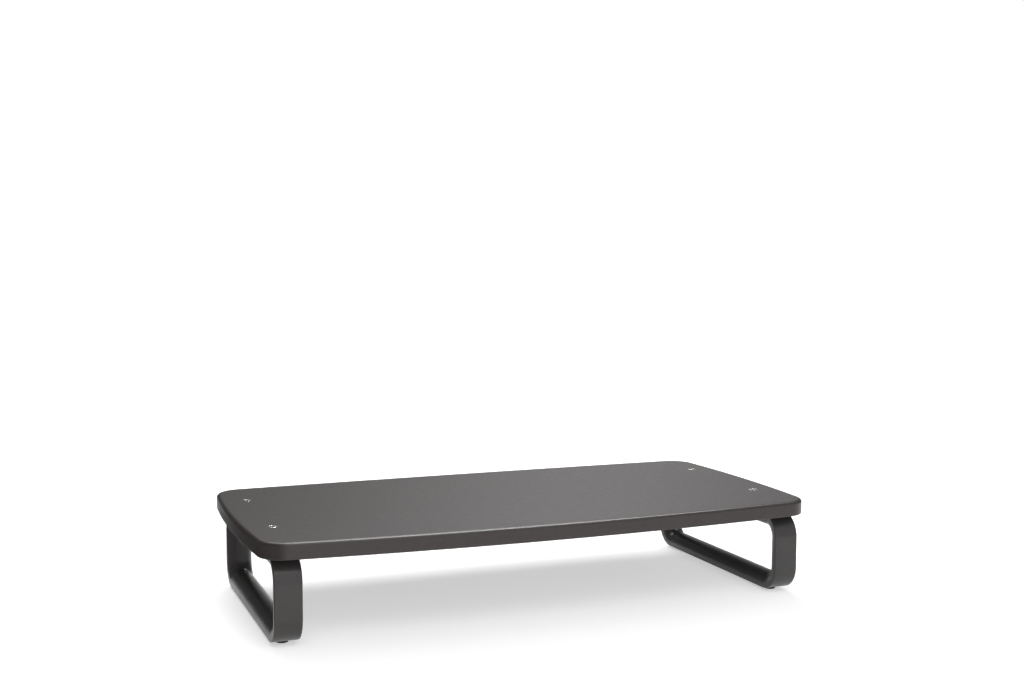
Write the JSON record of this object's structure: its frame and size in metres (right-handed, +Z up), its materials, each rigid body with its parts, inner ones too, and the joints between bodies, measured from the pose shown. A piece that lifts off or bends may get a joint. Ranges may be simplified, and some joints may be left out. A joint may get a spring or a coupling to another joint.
{
  "type": "monitor riser",
  "caption": "Extra wide monitor riser: a black wrapped board with bowed edges, screwed to two closed loop legs of half-round tube on small rubber feet.",
  "frame": {"origin": "on the desk top, under the middle of the riser", "axes": "+X to the user's right along the board, +Y away from the user, +Z up"},
  "size_m": [0.6, 0.298, 0.103],
  "materials": {
    "board_core": "raw fibreboard",
    "board_foil": "charcoal vinyl foil, fine grain, satin",
    "board_backer": "matt black backing sheet",
    "leg_coat": "satin charcoal powder coat",
    "screw_steel": "black-oxide steel",
    "cup_nickel": "nickel plated",
    "zinc_steel": "zinc plated",
    "foot_rubber": "matt black rubber"
  },
  "bodies": {
    "root": {"board_core": "board_core", "board_foil": "board_foil", "board_backer": "board_backer", "left_leg_loop": "leg_coat", "right_leg_loop": "leg_coat", "screw_front_left": "screw_steel", "screw_rear_left": "screw_steel", "screw_front_right": "screw_steel", "screw_rear_right": "screw_steel", "cup_front_left": "cup_nickel", "cup_rear_left": "cup_nickel", "cup_front_right": "cup_nickel", "cup_rear_right": "cup_nickel", "rivet_nut_front_left": "zinc_steel", "rivet_nut_rear_left": "zinc_steel", "rivet_nut_front_right": "zinc_steel", "rivet_nut_rear_right": "zinc_steel", "foot_front_left": "foot_rubber", "foot_rear_left": "foot_rubber", "foot_front_right": "foot_rubber", "foot_rear_right": "foot_rubber"}
  },
  "joints": []
}
